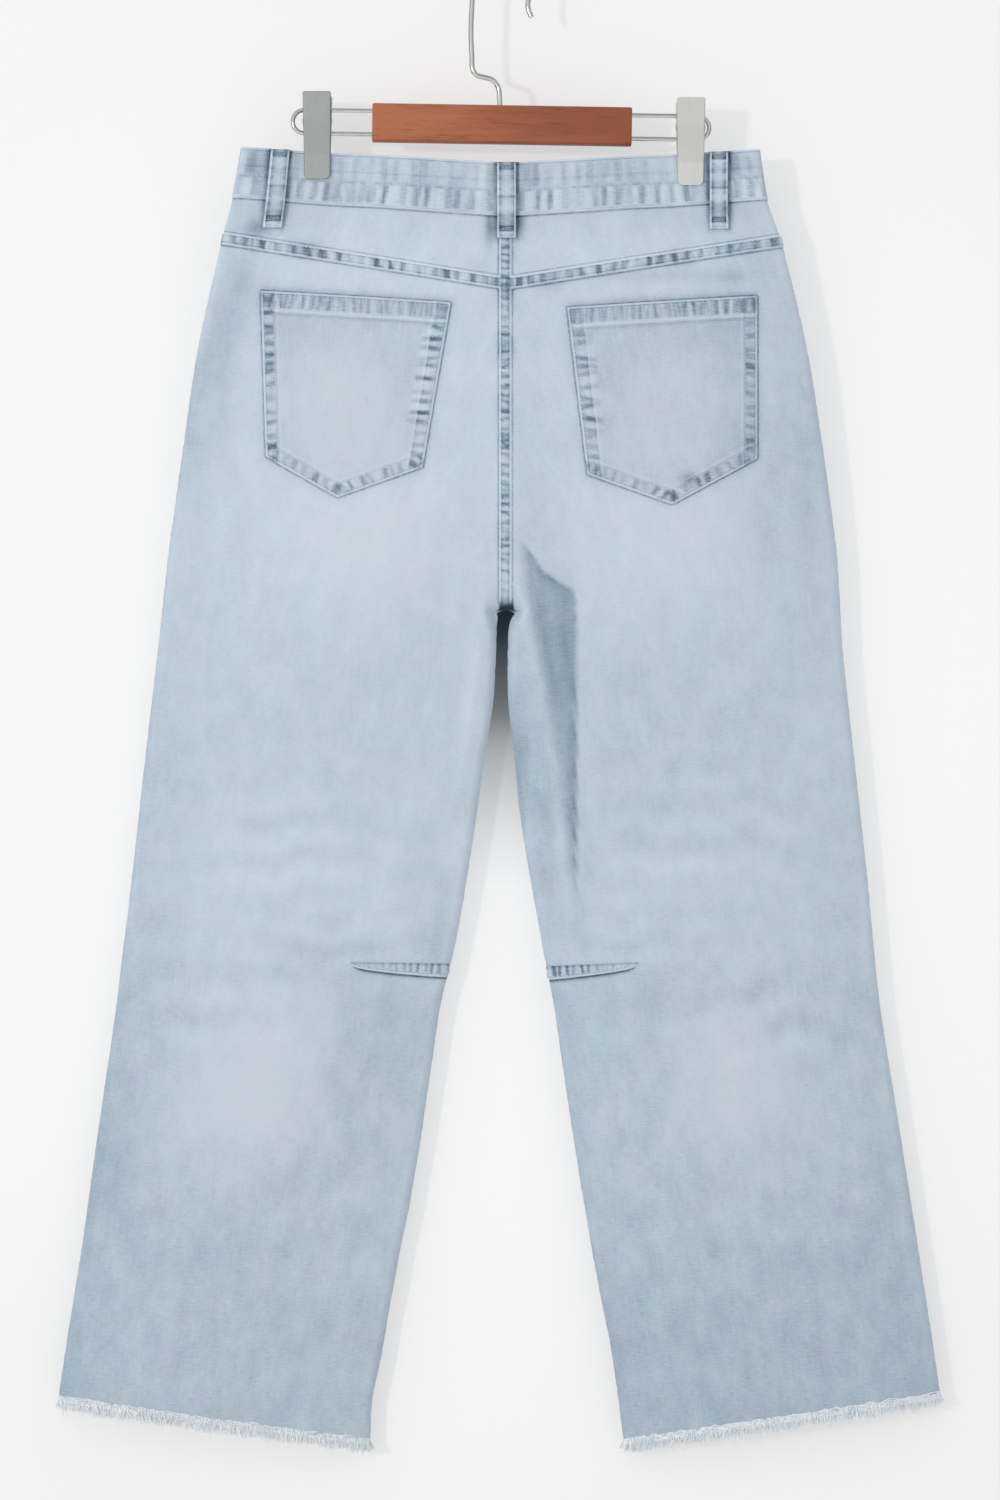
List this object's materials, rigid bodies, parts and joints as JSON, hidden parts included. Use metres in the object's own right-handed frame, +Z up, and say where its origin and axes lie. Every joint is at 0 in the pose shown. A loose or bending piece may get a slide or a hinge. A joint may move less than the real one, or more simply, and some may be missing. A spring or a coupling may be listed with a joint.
{
  "type": "cropped jeans on a clip hanger",
  "caption": "Pale-wash cropped wide-leg jeans with raw frayed hems and patch back pockets, hung by the waist from a wooden clip hanger.",
  "frame": {"origin": "seat of the hanger's hook, where its inner top rests on a rail", "axes": "+Z up; +X towards the wearer's left; the wearer would face -Y, so the back of the jeans faces +Y"},
  "size_m": [0.6738, 0.0327, 1.1359],
  "materials": {
    "denim": "pale washed stretch denim, soft and matt, faded towards white with a faint pink cast",
    "fringe": "loose pale cotton threads of the raw hem",
    "wood": "reddish brown stained wood, satin varnish",
    "wire": "bright plated steel wire",
    "clip_steel": "satin plated steel sheet",
    "button": "worn plain metal button"
  },
  "bodies": {
    "root": {"back_left": "denim", "back_right": "denim", "yoke_left": "denim", "yoke_right": "denim", "front_left": "denim", "front_right": "denim", "pocket_facing_left": "denim", "pocket_facing_right": "denim", "back_pocket_left": "denim", "back_pocket_right": "denim", "knee_dart_left": "denim", "knee_dart_right": "denim", "belt_loop_back": "denim", "belt_loop_back_left": "denim", "belt_loop_back_right": "denim", "belt_loop_front_left": "denim", "belt_loop_front_right": "denim", "fly": "denim", "waistband": "denim", "hem_fringe_left": "fringe", "hem_fringe_right": "fringe", "waist_button": "button", "hanger_bar": "wood", "hanger_rail_left": "wire", "hanger_rail_right": "wire", "hanger_hook": "wire", "clip_left_back_plate": "clip_steel", "clip_left_front_plate": "clip_steel", "clip_left_pin": "wire", "clip_left_spring": "wire", "clip_right_back_plate": "clip_steel", "clip_right_front_plate": "clip_steel", "clip_right_pin": "wire", "clip_right_spring": "wire"}
  },
  "joints": []
}
